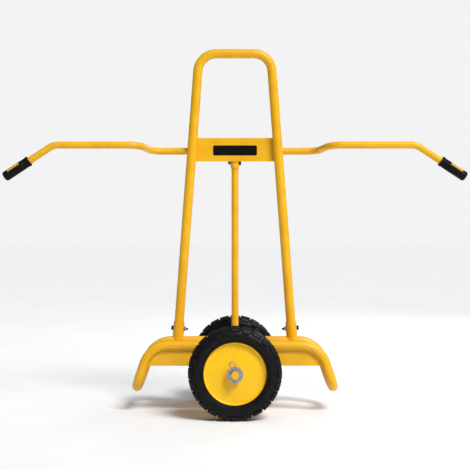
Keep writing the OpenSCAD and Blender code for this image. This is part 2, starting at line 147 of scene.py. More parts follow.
def finish_material(material, tree, inputs):
    shader = add_node(tree, "ShaderNodeBsdfPrincipled", inputs)
    add_node(tree, "ShaderNodeOutputMaterial", {"Surface": shader.outputs["BSDF"]})
    return material


def powder_coated_steel(name, deep, main, light):
    """Polyester powder, sprayed and baked: a satin coat with a low orange-peel ripple all over.

    The ripple is really 2 to 3 mm across and is drawn at that size; a slower one of 30 mm shows in
    the long highlights. The colour drifts by a shade where the coat is thinner.
    """
    material, tree, place = new_material(name)
    drift = add_node(tree, NOISE, {"Vector": place, "Scale": patch_scale(60), "Detail": 3}).outputs["Fac"]
    peel = add_node(tree, NOISE, {"Vector": place, "Scale": patch_scale(2.6), "Detail": 1}).outputs["Fac"]
    slow = add_node(tree, NOISE, {"Vector": place, "Scale": patch_scale(30), "Detail": 1}).outputs["Fac"]
    swell = add_node(tree, BUMP, {"Height": slow, "Strength": 1.0, "Distance": 0.2 * MM})
    ripple = add_node(tree, BUMP, {"Height": peel, "Strength": 1.0, "Distance": 0.02 * MM,
                                   "Normal": swell.outputs["Normal"]})
    shades = add_node(tree, RAMP, {"Fac": drift}, [(0.3, deep), (0.5, main), (0.72, light)])
    satin = add_node(tree, SPREAD, {"Value": peel, "To Min": 0.34, "To Max": 0.44})
    return finish_material(material, tree, {
        "Base Color": shades.outputs["Color"],
        "Roughness": satin.outputs["Result"],
        "Specular IOR Level": 0.32,
        "Coat Weight": 0.12,
        "Coat Roughness": 0.2,
        "Normal": ripple.outputs["Normal"],
    })


def tyre_rubber():
    """Moulded carbon-black rubber: matt, with a faint bloom in patches and a fine moulded grain."""
    material, tree, place = new_material("moulded_tyre_rubber")
    bloom = add_node(tree, NOISE, {"Vector": place, "Scale": patch_scale(35), "Detail": 4,
                                   "Roughness": 0.6}).outputs["Fac"]
    grain = add_node(tree, NOISE, {"Vector": place, "Scale": patch_scale(1.6), "Detail": 2})
    blacks = add_node(tree, RAMP, {"Fac": bloom}, [(0.35, "#0a0a0b"), (0.6, "#0f0f10"), (0.8, "#181819")])
    matt = add_node(tree, SPREAD, {"Value": bloom, "To Min": 0.38, "To Max": 0.56})
    skin = add_node(tree, BUMP, {"Height": grain.outputs["Fac"], "Strength": 1.0, "Distance": 0.12 * MM})
    return finish_material(material, tree, {
        "Base Color": blacks.outputs["Color"],
        "Roughness": matt.outputs["Result"],
        "Specular IOR Level": 0.17,
        "Normal": skin.outputs["Normal"],
    })


def grip_rubber():
    """Soft thermoplastic rubber from a spark-eroded mould: close pebbling about 2 mm apart."""
    material, tree, place = new_material("pebbled_grip_rubber")
    pebbles = add_node(tree, CELLS, {"Vector": place, "Scale": patch_scale(2.2)}).outputs["Distance"]
    wear = add_node(tree, NOISE, {"Vector": place, "Scale": patch_scale(18), "Detail": 3}).outputs["Fac"]
    blacks = add_node(tree, RAMP, {"Fac": wear}, [(0.35, "#060606"), (0.7, "#0e0e0f")])
    worn = add_node(tree, SPREAD, {"Value": wear, "To Min": 0.46, "To Max": 0.6})
    skin = add_node(tree, BUMP, {"Height": pebbles, "Strength": 1.0, "Distance": 0.18 * MM})
    return finish_material(material, tree, {
        "Base Color": blacks.outputs["Color"],
        "Roughness": worn.outputs["Result"],
        "Specular IOR Level": 0.13,
        "Normal": skin.outputs["Normal"],
    })


def zinc_plated_steel(name, deep, light):
    """Zinc plate on steel: cool grey metal with cloudy patches a few millimetres across."""
    material, tree, place = new_material(name)
    clouds = add_node(tree, NOISE, {"Vector": place, "Scale": patch_scale(5), "Detail": 4,
                                    "Roughness": 0.6}).outputs["Fac"]
    greys = add_node(tree, RAMP, {"Fac": clouds}, [(0.3, deep), (0.7, light)])
    shine = add_node(tree, SPREAD, {"Value": clouds, "To Min": 0.2, "To Max": 0.34})
    skin = add_node(tree, BUMP, {"Height": clouds, "Strength": 1.0, "Distance": 0.03 * MM})
    return finish_material(material, tree, {
        "Base Color": greys.outputs["Color"],
        "Metallic": 1.0,
        "Roughness": shine.outputs["Result"],
        "Normal": skin.outputs["Normal"],
    })


def black_oxide_steel():
    """Heat-blackened bolt steel, slightly oily: a dark brown-grey metal with brighter scuffs."""
    material, tree, place = new_material("black_oxide_bolt_steel")
    scuffs = add_node(tree, NOISE, {"Vector": place, "Scale": patch_scale(3), "Detail": 5,
                                    "Roughness": 0.7}).outputs["Fac"]
    browns = add_node(tree, RAMP, {"Fac": scuffs}, [(0.4, "#2b2724"), (0.72, "#4a4540")])
    shine = add_node(tree, SPREAD, {"Value": scuffs, "To Min": 0.34, "To Max": 0.52})
    skin = add_node(tree, BUMP, {"Height": scuffs, "Strength": 1.0, "Distance": 0.04 * MM})
    return finish_material(material, tree, {
        "Base Color": browns.outputs["Color"],
        "Metallic": 1.0,
        "Roughness": shine.outputs["Result"],
        "Normal": skin.outputs["Normal"],
    })


def turned_nylon():
    """Natural nylon turned on a lathe: ivory and waxy, with a fine uneven surface."""
    material, tree, place = new_material("turned_nylon")
    tint = add_node(tree, NOISE, {"Vector": place, "Scale": patch_scale(12), "Detail": 2}).outputs["Fac"]
    grain = add_node(tree, NOISE, {"Vector": place, "Scale": patch_scale(0.9), "Detail": 1})
    ivories = add_node(tree, RAMP, {"Fac": tint}, [(0.3, "#ddd7c6"), (0.7, "#e9e4d6")])
    wax = add_node(tree, SPREAD, {"Value": tint, "To Min": 0.38, "To Max": 0.5})
    skin = add_node(tree, BUMP, {"Height": grain.outputs["Fac"], "Strength": 1.0, "Distance": 0.04 * MM})
    return finish_material(material, tree, {
        "Base Color": ivories.outputs["Color"],
        "Roughness": wax.outputs["Result"],
        "Subsurface Weight": 0.1,
        "Subsurface Scale": 2 * MM,
        "Normal": skin.outputs["Normal"],
    })


def printed_film(name, main, light):
    """Self-adhesive vinyl with a satin face: an even colour over a faintly uneven surface."""
    material, tree, place = new_material(name)
    waves = add_node(tree, NOISE, {"Vector": place, "Scale": patch_scale(14), "Detail": 2}).outputs["Fac"]
    shades = add_node(tree, RAMP, {"Fac": waves}, [(0.35, main), (0.75, light)])
    satin = add_node(tree, SPREAD, {"Value": waves, "To Min": 0.46, "To Max": 0.56})
    skin = add_node(tree, BUMP, {"Height": waves, "Strength": 1.0, "Distance": 0.05 * MM})
    return finish_material(material, tree, {
        "Base Color": shades.outputs["Color"],
        "Roughness": satin.outputs["Result"],
        "Specular IOR Level": 0.12,
        "Normal": skin.outputs["Normal"],
    })


def closed_cell_foam():
    """Polyurethane foam: dark grey with cells about a millimetre across."""
    material, tree, place = new_material("closed_cell_foam")
    cells = add_node(tree, CELLS, {"Vector": place, "Scale": patch_scale(1.2)}).outputs["Distance"]
    greys = add_node(tree, RAMP, {"Fac": cells}, [(0.1, "#3a3a3a"), (0.6, "#4c4c4c")])
    skin = add_node(tree, BUMP, {"Height": cells, "Strength": 1.0, "Distance": 0.3 * MM})
    return finish_material(material, tree, {
        "Base Color": greys.outputs["Color"],
        "Roughness": 0.85,
        "Normal": skin.outputs["Normal"],
    })


def studio_floor():
    """Painted studio floor: matt, pale, with a trace of mottle."""
    material, tree, place = new_material("pale_studio_floor")
    mottle = add_node(tree, NOISE, {"Vector": place, "Scale": patch_scale(400), "Detail": 2}).outputs["Fac"]
    whites = add_node(tree, RAMP, {"Fac": mottle}, [(0.3, "#f6f6f5"), (0.7, "#fafaf9")])
    return finish_material(material, tree, {
        "Base Color": whites.outputs["Color"],
        "Roughness": 0.9,
        "Specular IOR Level": 0.2,
    })


FINISHES = {
    "yellow_powder_coat": powder_coated_steel(
        "yellow_powder_coated_steel", "#e2a70c", "#e8ae11", "#edb51a"),
    "wheel_yellow": powder_coated_steel(
        "bright_yellow_powder_coated_steel", "#f2ba05", "#f6c108", "#f8c710"),
    "tyre_rubber": tyre_rubber(),
    "core_foam": closed_cell_foam(),
    "grip_rubber": grip_rubber(),
    "grip_label": printed_film("yellow_vinyl_film", "#c79d33", "#d2a93e"),
    "plate_label": printed_film("black_vinyl_film", "#040404", "#080808"),
    "zinc_plated_steel": zinc_plated_steel("bright_zinc_plated_steel", "#8a8e92", "#b0b4b8"),
    "black_bolt_steel": black_oxide_steel(),
    "nylon": turned_nylon(),
}


# ---------------------------------------------------------------- mesh tools

def make_object(name, vertices, faces, body, slot, smooth_degrees=35):
    """A piece from points in metres, shaded smooth across edges flatter than smooth_degrees."""
    mesh = bpy.data.meshes.new(name)
    mesh.from_pydata([tuple(v) for v in vertices], [], faces)
    work = bmesh.new()
    work.from_mesh(mesh)
    bmesh.ops.remove_doubles(work, verts=work.verts, dist=1e-6)
    bmesh.ops.recalc_face_normals(work, faces=work.faces)
    work.to_mesh(mesh)
    work.free()
    mesh.materials.append(FINISHES[slot])
    piece = bpy.data.objects.new(name, mesh)
    bpy.context.scene.collection.objects.link(piece)
    shade(mesh, smooth_degrees)
    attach(piece, body)
    return piece


def shade(mesh, degrees):
    """Smooth shading with the edges above an angle kept sharp."""
    mesh.shade_smooth()
    mesh.set_sharp_from_angle(angle=math.radians(degrees))


def soften(piece, width_mm, segments=2):
    """Rounds a piece's sharp edges."""
    bevel = piece.modifiers.new("softened_edges", "BEVEL")
    bevel.width = width_mm * MM
    bevel.segments = segments
    bevel.limit_method = "ANGLE"
    bevel.angle_limit = math.radians(40)
    bevel.harden_normals = True
    return piece


def frame_on(centre, axis, up=(0, 0, 1)):
    """A matrix that puts local +Z along axis at centre."""
    z = Vector(axis).normalized()
    x = Vector(up).cross(z)
    x = x.normalized() if x.length > 1e-6 else Vector((1, 0, 0))
    turned = Matrix((x, z.cross(x), z)).transposed().to_4x4()
    return Matrix.Translation(Vector(centre)) @ turned


def lathe(profile, place, steps=96):
    """A closed solid turned about local Z from a closed profile of (radius, height) in millimetres."""
    vertices, faces, count = [], [], len(profile)
    for i in range(steps):
        a = math.tau * i / steps
        for radius, height in profile:
            vertices.append(place @ (Vector((radius * math.cos(a), radius * math.sin(a), height)) * MM))
    for i in range(steps):
        for j in range(count):
            a, b = i * count, ((i + 1) % steps) * count
            k = (j + 1) % count
            if profile[j][0] == 0 and profile[k][0] == 0:
                continue
            faces.append((a + j, b + j, b + k, a + k))
    return vertices, faces


def arc(cx, cy, r, start, end, steps):
    """Points on an arc, in degrees, as (x, y)."""
    return [(cx + r * math.cos(math.radians(start + (end - start) * i / steps)),
             cy + r * math.sin(math.radians(start + (end - start) * i / steps))) for i in range(steps + 1)]


BEAD_END = 0.35  # how much of its width a weld bead keeps at its two ends


def sweep(points, radius, sides=12, closed=False, ripple=0.0, ripple_pitch=3 * MM):
    """A round wire along points in metres, its radius rippled as a weld bead's is when asked."""
    points = [Vector(p) for p in points]
    count = len(points)
    vertices, faces, normal, run = [], [], None, 0.0
    for i, point in enumerate(points):
        before = points[i - 1] if i or closed else point
        after = points[(i + 1) % count] if i < count - 1 or closed else point
        along = (after - before).normalized()
        if normal is None:
            normal = along.orthogonal().normalized()
        normal = (normal - along * normal.dot(along)).normalized()
        side = along.cross(normal)
        run += (point - before).length
        r = radius * (1 + ripple * math.sin(math.tau * run / ripple_pitch))
        if not closed and i in (0, count - 1) and ripple:
            r *= BEAD_END
        for k in range(sides):
            a = math.tau * k / sides
            vertices.append(point + r * (math.cos(a) * normal + math.sin(a) * side))
    for i in range(count if closed else count - 1):
        a, b = i * sides, ((i + 1) % count) * sides
        for k in range(sides):
            m = (k + 1) % sides
            faces.append((a + k, a + m, b + m, b + k))
    if not closed:
        faces.append(tuple(range(sides - 1, -1, -1)))
        faces.append(tuple((count - 1) * sides + k for k in range(sides)))
    return vertices, faces


def join(*parts):
    """Several (vertices, faces) as one."""
    vertices, faces = [], []
    for more_vertices, more_faces in parts:
        start = len(vertices)
        vertices.extend(more_vertices)
        faces.extend(tuple(start + i for i in face) for face in more_faces)
    return vertices, faces


def loose_solids(node):
    """The points of each separate solid in a CAD node."""
    mesh = frame["nodes"][node].data
    key = [tuple(round(c, 6) for c in v.co) for v in mesh.vertices]
    owner = {}

    def root(k):
        while owner.setdefault(k, k) != k:
            owner[k] = owner[owner[k]]
            k = owner[k]
        return k

    for polygon in mesh.polygons:
        first = root(key[polygon.vertices[0]])
        for v in polygon.vertices[1:]:
            owner[root(key[v])] = first
    groups = {}
    for k in set(key):
        groups.setdefault(root(k), []).append(Vector(k))
    return sorted(groups.values(), key=lambda g: (round(g[0].x, 3) > 0, g[0].z))


# ---------------------------------------------------------------- finishes and edges of the plain nodes

PLATE_NODES = ("cross_plate", "web_front", "web_rear", "deck_plate", "plate_label")
TURNED_NODES = ("washer_front", "washer_rear", "spacer_front", "spacer_rear", "axle_bar", "hub_front",
                "hub_rear", "leg_socket_left", "leg_socket_right", "post_sleeve_top", "handle_sleeve")
PLATE_EDGE = 0.6  # millimetres rounded off, here and in the next two
FILM_EDGE = 0.2
TURNED_EDGE = 0.5

for subpart in frame["record"]["subparts"]:
    cad_node = frame["nodes"][subpart["node"]]
    cad_node.data.materials.clear()
    cad_node.data.materials.append(FINISHES[subpart["material_slot"]])

for plate_name in PLATE_NODES:
    soften(frame["nodes"][plate_name], FILM_EDGE if plate_name == "plate_label" else PLATE_EDGE)
for turned_name in TURNED_NODES:
    soften(frame["nodes"][turned_name], TURNED_EDGE)


# ---------------------------------------------------------------- wheels

LUGS = 24               # shoulder lugs on each side of a tyre, and lugs in each middle row
LUG_PITCH = 360 / LUGS
RIM_R = 120.0           # where the tyre's bead sits
BULGE_R = 33.0          # radius of the tyre's sidewall
BULGE_MIDDLE = (139.8, 12.0)  # its centre, from the axle and from the wheel's middle
CROWN_R = 171.0         # the tread's floor at the wheel's middle
CROWN_DROP = 0.0064     # how fast that floor falls away on either side

# Each kind of lug: its face, its root and its half widths in degrees, all from the middle outwards.
# Faces and roots are (radius, distance from the wheel's middle) in millimetres.
LONG_FACE = [(176.4, 20.5), (175.8, 26), (174.2, 32), (171.0, 37.5), (165.8, 41.4), (158.5, 44.0),
             (152.0, 44.9)]
LONG_ROOT = [(165.5, 20.0), (164.5, 26), (163.0, 31), (160.5, 34.0), (157.5, 37.0), (154.5, 40.0),
             (150.8, 42.0)]
LONG_LUG = (LONG_FACE, LONG_ROOT, [6.1, 6.3, 6.3, 6.0, 5.3, 4.3, 3.5])
SHORT_LUG = (LONG_FACE[:5] + [(161.0, 43.2)], LONG_ROOT[:5] + [(157.5, 38.6)],
             [6.2, 6.3, 6.2, 5.9, 5.4, 5.0])
BLOCK = ([(177.6, 2.0), (177.5, 6), (177.2, 11), (176.7, 15.5)],
         [(168.0, 1.6), (168.0, 6), (168.0, 11), (168.0, 16.0)], [4.2, 5.2, 5.8, 5.9])
LUG_SKEW = 0.6          # degrees a lug leans over its length
BLOCK_SKEW = 1.4
BLOCK_SHIFT = 0.8       # degrees a middle block stands off its lug
LUG_DRAFT = 0.5         # degrees a lug is wider at its root, on each side
LUG_EDGE = 0.8

HUB_WELDS = {"outer": 26.9, "inner": 23.2}  # where each is to its disc, from the wheel's middle
HUB_WELD_R = 24.6
HUB_BEAD_R = 2.2
RIM_LIP = (118.4, 30.2, 1.3, 180, 0, 5)  # the rim's rolled lip: centre, radius, angles, steps


def sidewall():
    """The outer sidewall from the bead to the shoulder, with the moulded rings near the bead."""
    radius, out = BULGE_MIDDLE
    wall = [(radius + BULGE_R * math.sin(math.radians(a)), out + BULGE_R * math.cos(math.radians(a)))
            for a in range(-28, 46, 4)]
    bead = [(RIM_R + 0.3, 30.5), (RIM_R - 2.6, 31.9), (RIM_R - 2.9, 33.2), (RIM_R - 1.8, 34.6),
            (RIM_R + 0.8, 36.2)]
    rings = [(123.0, 39.4), (123.8, 40.9), (125.4, 41.1), (126.0, 40.0)]
    return bead + rings + [p for p in wall if p[0] > 127]


def tread_floor(out):
    """Radius of the tread's floor at a distance from the wheel's middle."""
    return CROWN_R - CROWN_DROP * out * out


def tyre_shell(place):
    half = sidewall()
    floor = [(tread_floor(out), out) for out in (32, 24, 16, 8)]
    outer = half + floor
    profile = outer + [(CROWN_R, 0)] + [(r, -y) for r, y in reversed(outer)]
    return lathe(profile, place, 144)


def lug(place, angle, top, base, half_width, skew):
    """One lug: top and base are matching (radius, out) lines, with its sides drafted outwards below."""
    columns = (-1, -0.4, 0.4, 1)
    vertices, faces, count = [], [], len(top)
    for line, draft in ((top, 0.0), (base, LUG_DRAFT)):
        for column in columns:
            for i, (radius, out) in enumerate(line):
                width = half_width[i] + draft
                a = math.radians(angle + column * width + skew * (i / (count - 1) - 0.5))
                vertices.append(place @ (Vector((radius * math.cos(a), radius * math.sin(a), out)) * MM))
    size = len(columns) * count
    wide = len(columns)
    for c in range(wide - 1):
        for i in range(count - 1):
            a, b = c * count + i, (c + 1) * count + i
            faces.append((a, b, b + 1, a + 1))
            faces.append((size + a, size + a + 1, size + b + 1, size + b))
    for i in range(count - 1):
        last = (wide - 1) * count
        faces.append((i, i + 1, size + i + 1, size + i))
        faces.append((last + i, size + last + i, size + last + i + 1, last + i + 1))
    for c in range(wide - 1):
        a, b = c * count, (c + 1) * count
        faces.append((a, size + a, size + b, b))
        faces.append((a + count - 1, b + count - 1, size + b + count - 1, size + a + count - 1))
    return vertices, faces


def mirrored(line, side):
    return [(radius, side * out) for radius, out in line]


def tread(place):
    """Shoulder lugs that wrap on to the sidewalls, long and short by turns, and a block inside each."""
    parts = []
    for side in (-1, 1):
        for i in range(LUGS):
            angle = i * LUG_PITCH
            face, root, half_width = SHORT_LUG if (i + (side > 0)) % 2 else LONG_LUG
            parts.append(lug(place, angle, mirrored(face, side), mirrored(root, side), half_width,
                             side * LUG_SKEW))
            face, root, half_width = BLOCK
            parts.append(lug(place, angle - side * BLOCK_SHIFT, mirrored(face, side),
                             mirrored(root, side), half_width, side * BLOCK_SKEW))
    return join(*parts)


def rim_profile():
    """The rolled rim with its dished disc welded in, as one pressed section."""
    face = [(24.0, 26.6), (37.0, 26.6), (41.0, 26.2), (60.0, 25.2), (80.0, 24.0), (98.0, 22.9),
            (106.0, 22.6)]
    fillet = arc(109.5, 30.2, 7.6, -90, 0, 6)
    lip = arc(*RIM_LIP)
    back = [(119.9, 28.0), (119.9, -28.0)]
    far_lip = [(r, -y) for r, y in reversed(lip)]
    inside = [(117.1, -28.0), (117.1, 15.5)]
    rear_face = [(112.0, 19.0), (98.0, 19.9), (80.0, 21.0), (60.0, 22.2), (41.0, 23.3), (24.0, 23.5)]
    return face + fillet + lip + back + far_lip + inside + rear_face


def make_wheel(body, side):
    end = body.split("_")[1]
    centre = Vector(JOINTS[body]["pos_m"])
    place = frame_on(centre, (0, side, 0))
    shell = make_object("moulded_tyre_" + end, *tyre_shell(place), body, "tyre_rubber", 30)
    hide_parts("tyre_" + end)
    lugs = make_object("tread_lugs_" + end, *tread(place), body, "tyre_rubber", 30)
    soften(lugs, LUG_EDGE)
    rim = make_object("pressed_rim_" + end, *lathe(rim_profile(), place, 144), body, "wheel_yellow", 40)
    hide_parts("rim_" + end)
    for where, height in HUB_WELDS.items():
        ring = [place @ (Vector((HUB_WELD_R * math.cos(a), HUB_WELD_R * math.sin(a), height)) * MM)
                for a in (math.tau * i / 72 for i in range(72))]
        make_object(f"hub_weld_{end}_{where}", *sweep(ring, HUB_BEAD_R * MM, 8, True, 0.12), body,
                    "wheel_yellow")


for wheel_body, wheel_side in WHEEL_BODIES.items():
    make_wheel(wheel_body, wheel_side)


# ---------------------------------------------------------------- hairpins

AXLE_R = 15.0
RING_R = 10.5   # middle line of the hairpin's ring
RING_UP = 37.5  # its centre above the axle's middle
WRAP_R = 17.2   # middle line of the leg that goes round the axle


def smooth_path(points, passes):
    """Cuts the corners of an open path, keeping its ends."""
    for _ in range(passes):
        cut = [points[0]]
        for a, b in zip(points, points[1:]):
            cut += [a.lerp(b, 0.25), a.lerp(b, 0.75)]
        points = cut + [points[-1]]
    return points


def make_hairpin(end):
    """A spring-wire clip: a leg through the axle, a ring above it and a waved leg round its side."""
    low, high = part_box("hairpin_" + end)
    wire = (high.y - low.y) / 2
    axle = Vector(JOINTS["wheel_" + end]["pos_m"])
    y = (low.y + high.y) / 2
    leg = [(0, -40), (0, -15), (0, 15), (0, 24)]
    ring = [(-RING_R + RING_R * math.cos(a), RING_UP + RING_R * math.sin(a))
            for a in (math.radians(d) for d in range(0, 221, 20))]
    wrap = [(WRAP_R * math.cos(a), WRAP_R * math.sin(a))
            for a in (math.radians(d) for d in range(120, 231, 15))]
    tail = [(-7.5, -AXLE_R - 6), (-5, -AXLE_R - 14), (-6, -AXLE_R - 20)]
    path = [Vector((x * MM, y, axle.z + z * MM)) for x, z in leg + ring + wrap + tail]
    clip = make_object("hairpin_clip_" + end, *sweep(smooth_path(path, 2), wire, 14), FRAME_BODY,
                       "zinc_plated_steel", 50)
    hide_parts("hairpin_" + end)


for wheel_body in WHEEL_BODIES:
    make_hairpin(wheel_body.split("_")[1])


# ---------------------------------------------------------------- bolts and nuts

HOOP_LEAN = math.atan(0.0746)  # of each hoop leg towards the middle
HEAD_H = 8.0
FACE_STEP = 0.9     # thickness of the washer face under a bolt's head
FACE_SHARE = 0.84   # its radius, as a share of the head's
THREAD_LEN = 24.0
NUT_CORNER = 9.25
NUT_BORE = 5.15


def solid_axis(points):
    """The middle line of a bolt or nut: its direction and its two ends along it."""
    middle = sum(points, Vector()) / len(points)
    scatter = [[sum((p - middle)[i] * (p - middle)[j] for p in points) for j in range(3)] for i in range(3)]
    direction = Vector((1, 0.3, 0.2))
    for _ in range(60):
        direction = (Matrix(scatter) @ direction).normalized()
    heights = [(p - middle).dot(direction) for p in points]
    return middle, direction, min(heights), max(heights)


def hex_radius(apothem, angle):
    """Radius of a hexagon at an angle."""
    return apothem / math.cos((angle + math.pi / 6) % (math.pi / 3) - math.pi / 6)


def hex_block(place, corner_r, low, high, bore=0.0, steps=48):
    """A hexagon block in millimetres along local Z, chamfered at its top as forged heads and nuts are."""
    apothem = corner_r * math.cos(math.pi / 6)
    vertices, faces = [], []
    for i in range(steps):
        a = math.tau * i / steps
        r = hex_radius(apothem, a)
        drop = (r - apothem) * 0.6
        rows = [(max(bore, 0.01), low), (apothem * 0.94, low), (r, low), (r, high - drop),
                (apothem * 0.96, high), (max(bore, 0.01), high)]
        for radius, z in rows:
            vertices.append(place @ (Vector((radius * math.cos(a), radius * math.sin(a), z)) * MM))
    count = 6
    for i in range(steps):
        a, b = i * count, ((i + 1) % steps) * count
        for j in range(count):
            k = (j + 1) % count
            faces.append((a + j, b + j, b + k, a + k))
    return vertices, faces


def threaded_bar(place, radius, low, high, pitch=1.5):
    """A round bar whose last stretch is cut into rings a pitch apart, standing for a thread."""
    thread_len = min(THREAD_LEN, (high - low) * 0.5)
    profile = [(0, low), (radius, low), (radius, high - thread_len)]
    z = high - thread_len
    while z < high - pitch:
        profile += [(radius, z + pitch * 0.2), (radius * 0.88, z + pitch * 0.6)]
        z += pitch
    profile += [(radius * 0.8, high), (0, high)]
    return lathe(profile, place, 24)


def make_bolts(node, name):
    """Bolts in place of a node's plain ones, each with its forged head, washer face and threaded tip."""
    parts = []
    for points in loose_solids(node):
        middle, direction, low, high = solid_axis(points)

        def width_at(height):
            near = [(p - middle) for p in points if abs((p - middle).dot(direction) - height) < 1 * MM]
            return max((v - direction * v.dot(direction)).length for v in near)
        if width_at(low) < width_at(high):
            direction, low, high = -direction, -high, -low
        head_r, bar_r = width_at(low) / MM, width_at(high) / MM
        place = frame_on(middle + direction * low, direction)
        length = (high - low) / MM
        back = place @ Matrix.Rotation(math.pi, 4, "X")
        parts.append(hex_block(back, head_r, -HEAD_H + 0.8, -0.2))
        face_r = head_r * FACE_SHARE
        parts.append(lathe([(0, HEAD_H - FACE_STEP), (face_r, HEAD_H - FACE_STEP), (face_r, HEAD_H),
                            (0, HEAD_H)], place, 32))
        parts.append(threaded_bar(place, bar_r, HEAD_H - 1, length))
    piece = make_object(name, *join(*parts), FRAME_BODY, "black_bolt_steel", 32)
    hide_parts(node)


def towards_middle(point):
    """Across a hoop leg, square to its lean, from the leg towards the cart's middle."""
    side = 1 if point.x > 0 else -1
    return Vector((-side * math.cos(HOOP_LEAN), 0, -math.sin(HOOP_LEAN)))


def make_nuts(node, name, outward):
    """Lock nuts in place of a node's plain ones, each with a round locking collar at its outer end."""
    blocks = []
    for points in loose_solids(node):
        middle = sum(points, Vector()) / len(points)
        axis = outward(middle)
        reach = max(abs((p - middle).dot(axis)) for p in points)
        place = frame_on(middle - axis * reach, axis)
        height = 2 * reach / MM
        blocks.append(hex_block(place, NUT_CORNER, 0, height - 1.8, NUT_BORE))
        collar = [(NUT_BORE, height - 2.0), (7.4, height - 2.0), (7.0, height - 0.3), (6.3, height),
                  (NUT_BORE, height)]
        blocks.append(lathe(collar, place, 40))
    piece = make_object(name, *join(*blocks), FRAME_BODY, "zinc_plated_steel", 32)
    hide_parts(node)


make_bolts("hoop_bolts", "hoop_cross_bolts")
make_bolts("post_bolts", "post_cross_bolts")
make_bolts("handle_bolts", "handle_clamp_bolts")
make_nuts("hoop_nuts", "hoop_lock_nuts", towards_middle)
make_nuts("post_nuts", "post_lock_nuts", lambda point: Vector((-1, 0, 0)))
make_nuts("handle_nuts", "handle_lock_nuts", lambda point: Vector((0, 0, -1)))


# ---------------------------------------------------------------- grips

GRIP_LEN = 120.0
GRIP_R = 20.0
COLLAR_R = 21.0
GRIP_BORE = 14.3
GRIP_RINGS = (17.0, 21.0, 25.0)
HANDLE_DROOP = math.radians(33.3)


def grip_place(side):
    """Local +Z out along a handle's drooping end, from the grip's inner face."""
    low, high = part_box("grip_right")
    axis = Vector((math.cos(HANDLE_DROOP), 0, -math.sin(HANDLE_DROOP)))
    # the inner face is one collar radius from the box's left and top sides
    start = Vector((low.x + COLLAR_R * MM * math.sin(HANDLE_DROOP), 0,
                    high.z - COLLAR_R * MM * math.cos(HANDLE_DROOP)))
    if side < 0:
        axis.x, start.x = -axis.x, -start.x
    return frame_on(start, axis)


def make_grip(side, end):
    """A moulded sleeve with a rolled collar, three shallow rings and a domed end."""
    collar = arc(COLLAR_R - 3.0, 3.0, 3.0, -90, 0, 5) + arc(COLLAR_R - 2.5, 9.5, 2.5, 0, 80, 4)
    rings = []
    for z in GRIP_RINGS:
        rings += [(GRIP_R, z - 1.2), (GRIP_R - 0.8, z - 0.4), (GRIP_R - 0.8, z + 0.4), (GRIP_R, z + 1.2)]
    dome = arc(GRIP_R - 9.0, GRIP_LEN - 9.0, 9.0, 0, 90, 8)
    profile = ([(GRIP_BORE, 0)] + collar + rings + [(GRIP_R, 60.0)] + dome + [(0, GRIP_LEN)]
               + [(0, GRIP_LEN - 8.0), (GRIP_BORE, GRIP_LEN - 8.0)])
    piece = make_object("moulded_grip_" + end, *lathe(profile, grip_place(side), 72), FRAME_BODY,
                        "grip_rubber", 50)
    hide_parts("grip_" + end)


make_grip(-1, "left")
make_grip(1, "right")


# ---------------------------------------------------------------- weld beads

WELD_R = 1.9 * MM
THIN_BEAD_R = 1.5 * MM
SOCKET_BEAD_R = 1.6 * MM
HEAVY_BEAD_R = 2.2 * MM
FOOT_SPLAY = math.radians(18.6)
# Stitches along a seam: their middles and half their length, in millimetres
WEB_STITCHES, WEB_HALF = (-220, -130, -40, 50, 140, 220), 18
DECK_STITCHES, DECK_HALF = (-180, -90, 0, 90, 180), 20
SLEEVE_STITCHES, SLEEVE_HALF = (-118, -55, 55, 118), 18


def weld(name, points, closed=False, radius=WELD_R):
    make_object(name, *sweep(points, radius, 8, closed, 0.14), FRAME_BODY, "yellow_powder_coat", 60)


def line(a, b, step=1.0 * MM):
    """Points from a to b about a step apart."""
    a, b = Vector(a), Vector(b)
    count = max(2, int((b - a).length / step))
    return [a.lerp(b, i / count) for i in range(count + 1)]


def stitch(middle_mm, half_mm, y, z):
    """A short straight seam across the cart."""
    return line((middle_mm * MM - half_mm * MM, y, z), (middle_mm * MM + half_mm * MM, y, z))


def circle(place, radius, steps=90):
    return [place @ Vector((radius * math.cos(a), radius * math.sin(a), 0))
            for a in (math.tau * i / steps for i in range(steps))]


def saddle(place, radius, bar_point, bar_axis, bar_radius, steps=120):
    """Where a tube along local Z meets the upper side of a round bar."""
    points = []
    up = place.to_3x3() @ Vector((0, 0, 1))
    axis = Vector(bar_axis).normalized()
    for i in range(steps):
        a = math.tau * i / steps
        start = place @ Vector((radius * math.cos(a), radius * math.sin(a), 0))
        across = start - Vector(bar_point)
        across -= axis * across.dot(axis)
        flat_up = up - axis * up.dot(axis)
        # the highest point of the bar straight along the tube from here
        qa = flat_up.length_squared
        qb = 2 * across.dot(flat_up)
        qc = across.length_squared - bar_radius ** 2
        inside = qb * qb - 4 * qa * qc
        t = (-qb + math.sqrt(inside)) / (2 * qa) if inside > 0 else -qb / (2 * qa)
        points.append(start + up * t)
    return points


